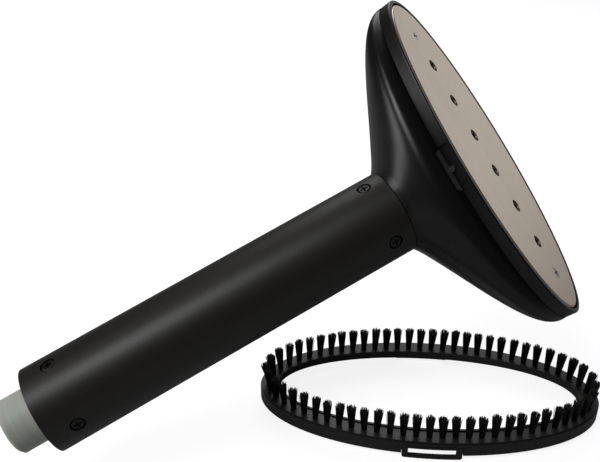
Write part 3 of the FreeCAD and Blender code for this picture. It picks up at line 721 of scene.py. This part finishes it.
def tuft_roots(looks):
    """A mesh of one loose vertex for each tuft, evenly spaced round the band, with how far each leans."""
    half_long, half_wide = ring_half_axes()
    half_long -= BAND_MIDDLE
    half_wide -= BAND_MIDDLE
    turns = [2 * math.pi * step / PATH_STEPS for step in range(PATH_STEPS + 1)]
    path = [Vector((half_long * math.cos(turn), half_wide * math.sin(turn), 0)) for turn in turns]
    walked = [0.0]
    for here, there in zip(path, path[1:]):
        walked.append(walked[-1] + (there - here).length)
    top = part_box("brush_ring")[1][2] - LIP_HEIGHT
    spots, leans = [], []
    step = 0
    for number in range(looks.tufts):
        goal = walked[-1] * (number + 0.5) / looks.tufts
        while walked[step] < goal:
            step += 1
        spot = RING @ path[step]
        spot.z = top
        outward = Vector((path[step].x / half_long**2, path[step].y / half_wide**2, 0)).normalized()
        amount = math.tan(math.radians(TUFT_LEAN)) * outward.x**2
        spots.append(tuple(spot))
        leans.append(RING.to_3x3() @ outward * amount)
    mesh = bpy.data.meshes.new("tuft_roots")
    mesh.from_pydata(spots, [], [])
    attribute = mesh.attributes.new("lean", "FLOAT_VECTOR", "POINT")
    attribute.data.foreach_set("vector", [part for lean in leans for part in lean])
    return mesh


def ring_half_axes():
    """Half the ring's length and width, worked out of its turned outline's box."""
    low, high = (Vector(corner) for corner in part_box("brush_ring"))
    across, along = (high.x - low.x) / 2, (high.y - low.y) / 2
    heading = RING.to_euler().z
    cosine, sine = math.cos(heading) ** 2, math.sin(heading) ** 2
    spread = cosine - sine
    long_square = (across**2 * cosine - along**2 * sine) / spread
    wide_square = (along**2 * cosine - across**2 * sine) / spread
    return math.sqrt(long_square), math.sqrt(wide_square)


def plain_mesh(source, name):
    """The evaluated mesh of a helper object as a finished piece at the origin; the helper is removed."""
    graph = bpy.context.evaluated_depsgraph_get()
    finished = source.evaluated_get(graph)
    mesh = bpy.data.meshes.new_from_object(finished, preserve_all_data_layers=True, depsgraph=graph)
    mesh.name = name
    bpy.data.objects.remove(source)
    piece = bpy.data.objects.new(name, mesh)
    bpy.context.scene.collection.objects.link(piece)
    return piece


# ---- stage --------------------------------------------------------------------------------------------


def add_camera(looks):
    """The scene's camera, which looks down along Y."""
    camera = bpy.data.objects.new("camera", bpy.data.cameras.new("camera"))
    camera.data.lens = looks.lens
    camera.data.clip_start = CAMERA_CLIP
    camera.location = CAMERA_PLACE
    camera.rotation_euler = (math.radians(90 - CAMERA_FALL), 0, 0)
    bpy.context.scene.collection.objects.link(camera)
    bpy.context.scene.camera = camera


def area_light(name, place, aim, breadth, power):
    """A square light at place that faces aim and isn't seen itself."""
    light = bpy.data.lights.new(name, "AREA")
    light.size = breadth
    light.energy = power
    lamp = bpy.data.objects.new(name, light)
    lamp.location = place
    lamp.rotation_euler = (Vector(aim) - Vector(place)).to_track_quat("-Z", "Y").to_euler()
    lamp.visible_camera = False
    bpy.context.scene.collection.objects.link(lamp)


def seen_and_unseen(tree, seen, unseen):
    """A mix of two shaders by whether the camera looks at the surface itself."""
    path = tree.nodes.new("ShaderNodeLightPath")
    mix = tree.nodes.new("ShaderNodeMixShader")
    tree.links.new(path.outputs["Is Camera Ray"], mix.inputs[0])
    tree.links.new(unseen, mix.inputs[1])
    tree.links.new(seen, mix.inputs[2])
    return mix.outputs[0]


def light_world(world):
    """White where the camera sees it, and a dim even fill for everything else."""
    bpy.context.scene.world = world
    world.use_nodes = True
    tree = world.node_tree
    tree.nodes.clear()
    bright = tree.nodes.new("ShaderNodeBackground")
    bright.inputs["Color"].default_value = (*WHITE, 1)
    dim = tree.nodes.new("ShaderNodeBackground")
    dim.inputs["Color"].default_value = (*FILL_TINT, 1)
    dim.inputs["Strength"].default_value = WORLD_FILL
    result = tree.nodes.new("ShaderNodeOutputWorld")
    tree.links.new(seen_and_unseen(tree, bright.outputs[0], dim.outputs[0]), result.inputs["Surface"])


def add_floor(reach):
    """A plain pale floor under the ring's loops."""
    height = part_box("near_loop")[0][2]
    around = ((-reach, -reach), (reach, -reach), (reach, reach), (-reach, reach))
    mesh = bpy.data.meshes.new("floor")
    mesh.from_pydata([(across, along, height) for across, along in around], [], [(0, 1, 2, 3)])
    floor = bpy.data.objects.new("floor", mesh)
    bpy.context.scene.collection.objects.link(floor)
    mesh.materials.append(floor_paper())


def floor_paper():
    """Matte paper that the camera sees almost white, with faint shadows where things stand on it."""
    material = bpy.data.materials.new("floor_paper")
    material.use_nodes = True
    tree = material.node_tree
    shader = tree.nodes["Principled BSDF"]
    shader.inputs["Base Color"].default_value = (*PAPER_TINT, 1)
    shader.inputs["Roughness"].default_value = 0.9
    shader.inputs["Specular IOR Level"].default_value = 0.1
    glow = tree.nodes.new("ShaderNodeEmission")
    glow.inputs["Color"].default_value = (*WHITE, 1)
    glow.inputs["Strength"].default_value = FLOOR_GLOW
    lit = tree.nodes.new("ShaderNodeAddShader")
    tree.links.new(shader.outputs[0], lit.inputs[0])
    tree.links.new(glow.outputs[0], lit.inputs[1])
    result = tree.nodes["Material Output"]
    tree.links.new(seen_and_unseen(tree, lit.outputs[0], shader.outputs[0]), result.inputs["Surface"])
    return material


# ---- operators ----------------------------------------------------------------------------------------


def dress(material, *nodes):
    """Give CAD nodes a finish through their objects' own material slots."""
    for node in nodes:
        part = frame["nodes"][node]
        if not part.material_slots:
            part.data.materials.append(material)
        for place in part.material_slots:
            place.link = "OBJECT"
            place.material = material


class STEAMHEAD_OT_wand(bpy.types.Operator):
    """Finish the handle tube, the head, the sole plate and their screws"""

    bl_idname = "steamhead.wand"
    bl_label = "Finish the wand"

    def execute(self, context):
        looks = context.scene.steam_wand
        grain, scuffs = shared_groups()
        tube = anodised_tube(looks, grain, scuffs)
        head_tint = tuple(looks.head_tint)
        bezel_tint = lifted(head_tint, BEZEL_LIFT)
        # The catches' far paler tint is a painted highlight.
        catch_highlight_tint = lifted(head_tint, CATCH_HIGHLIGHT_LIFT)
        black = moulded_black("moulded_black", head_tint, PLATE, grain, scuffs, low=0.26, high=0.36)
        bezel = moulded_black("bezel_black", bezel_tint, PLATE, grain, scuffs, low=0.3, high=0.4)
        catch = moulded_black("catch_painted_highlight", catch_highlight_tint, PLATE, grain, scuffs, low=0.4, high=0.5)
        steel = brushed_steel(looks, grain, scuffs)
        dress(tube, "handle_tube")
        dress(black, "head_shell")
        dress(catch, "near_catch", "far_catch")
        dress(bezel, "rim_bezel")
        dress(steel, "sole_plate")
        dress(turned_nylon(looks, grain, scuffs), "hose_plug")
        dress(plain_finish("black_screw", grain), "hose_end_screws", "neck_screws")
        dress(plain_finish("bright_screw", grain), "sole_screws")
        return {"FINISHED"}


class STEAMHEAD_OT_inside(bpy.types.Operator):
    """Finish what lies inside the handle and the head: pipe, foam, seals, chamber and its screws"""

    bl_idname = "steamhead.inside"
    bl_label = "Finish the inside"

    def execute(self, context):
        grain, _ = shared_groups()
        for name, nodes in INSIDE.items():
            dress(plain_finish(name, grain), *nodes)
        return {"FINISHED"}


class STEAMHEAD_OT_ring(bpy.types.Operator):
    """Finish the brush ring's frame, its spring loops and the staples that hold the tufts"""

    bl_idname = "steamhead.ring"
    bl_label = "Finish the brush ring"

    def execute(self, context):
        grain, scuffs = shared_groups()
        black = moulded_black("ring_black", RING_TINT, RING, grain, scuffs, low=0.34, high=0.46)
        dress(black, "brush_ring", "near_loop", "far_loop")
        dress(plain_finish("staple_wire", grain), "tuft_anchors")
        return {"FINISHED"}


class STEAMHEAD_OT_bristles(bpy.types.Operator):
    """Grow the bristles from the ring's tufts"""

    bl_idname = "steamhead.bristles"
    bl_label = "Grow the bristles"

    def execute(self, context):
        looks = context.scene.steam_brush
        material = bristle_nylon()
        nodes = bristle_tree()
        roots = bpy.data.objects.new("tuft_roots", tuft_roots(looks))
        context.scene.collection.objects.link(roots)
        grower = roots.modifiers.new("bristles", "NODES")
        grower.node_group = nodes.tree
        given = {
            "Filaments": looks.filaments,
            "Filament radius": looks.filament_radius,
            "Root radius": looks.root_radius,
            "Length": looks.length,
            "Flare": looks.flare,
            "Raggedness": looks.raggedness,
            "Seed": looks.seed,
            "Material": material,
        }
        for name, number in given.items():
            grower[nodes.identifiers[name]] = number
        bristles = plain_mesh(roots, "bristles")
        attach(bristles, "brush")
        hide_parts("bristle_tufts")
        return {"FINISHED"}


class STEAMHEAD_OT_stage(bpy.types.Operator):
    """Set up the camera, the soft studio lights and the pale floor"""

    bl_idname = "steamhead.stage"
    bl_label = "Set the stage"

    def execute(self, context):
        looks = context.scene.steam_stage
        add_camera(looks)
        light_world(context.scene.world or bpy.data.worlds.new("studio"))
        plate, tube = PLATE.to_translation(), WAND.to_translation()
        area_light("key", KEY_PLACE, plate, KEY_BREADTH, looks.key_power)
        area_light("left", LEFT_PLACE, tube, LEFT_BREADTH, looks.left_power)
        area_light("card", plate + CARD_WAY * CARD_DISTANCE, plate, CARD_BREADTH, looks.card_power)
        area_light("rim", RIM_PLACE, tube, RIM_BREADTH, looks.rim_power)
        add_floor(looks.floor_reach)
        context.scene.view_settings.view_transform = "Standard"
        return {"FINISHED"}


# ---- panel and registration -----------------------------------------------------------------------------


OPERATORS = (
    STEAMHEAD_OT_stage,
    STEAMHEAD_OT_wand,
    STEAMHEAD_OT_inside,
    STEAMHEAD_OT_ring,
    STEAMHEAD_OT_bristles,
)


class STEAMHEAD_PT_panel(bpy.types.Panel):
    """Lists the steam head's operators and the sizes and colours that they use"""

    bl_idname = "STEAMHEAD_PT_panel"
    bl_label = "Steam Head"
    bl_space_type = "VIEW_3D"
    bl_region_type = "UI"
    bl_category = "Steam Head"

    def draw(self, context):
        for operator in OPERATORS:
            self.layout.operator(operator.bl_idname)
        for looks in (context.scene.steam_wand, context.scene.steam_brush, context.scene.steam_stage):
            box = self.layout.box()
            for name in looks.__annotations__:
                box.prop(looks, name)


CLASSES = (WandLooks, BrushLooks, StageLooks, *OPERATORS, STEAMHEAD_PT_panel)


def register():
    """Add the classes and their settings to Blender."""
    for item in CLASSES:
        bpy.utils.register_class(item)
    bpy.types.Scene.steam_wand = PointerProperty(type=WandLooks)
    bpy.types.Scene.steam_brush = PointerProperty(type=BrushLooks)
    bpy.types.Scene.steam_stage = PointerProperty(type=StageLooks)


def unregister():
    """Take the classes and their settings out of Blender."""
    del bpy.types.Scene.steam_stage
    del bpy.types.Scene.steam_brush
    del bpy.types.Scene.steam_wand
    for item in reversed(CLASSES):
        bpy.utils.unregister_class(item)


def main():
    """Dress and stage the object."""
    register()
    bpy.ops.steamhead.stage()
    bpy.ops.steamhead.wand()
    bpy.ops.steamhead.inside()
    bpy.ops.steamhead.ring()
    bpy.ops.steamhead.bristles()


if __name__ == "__main__":
    main()
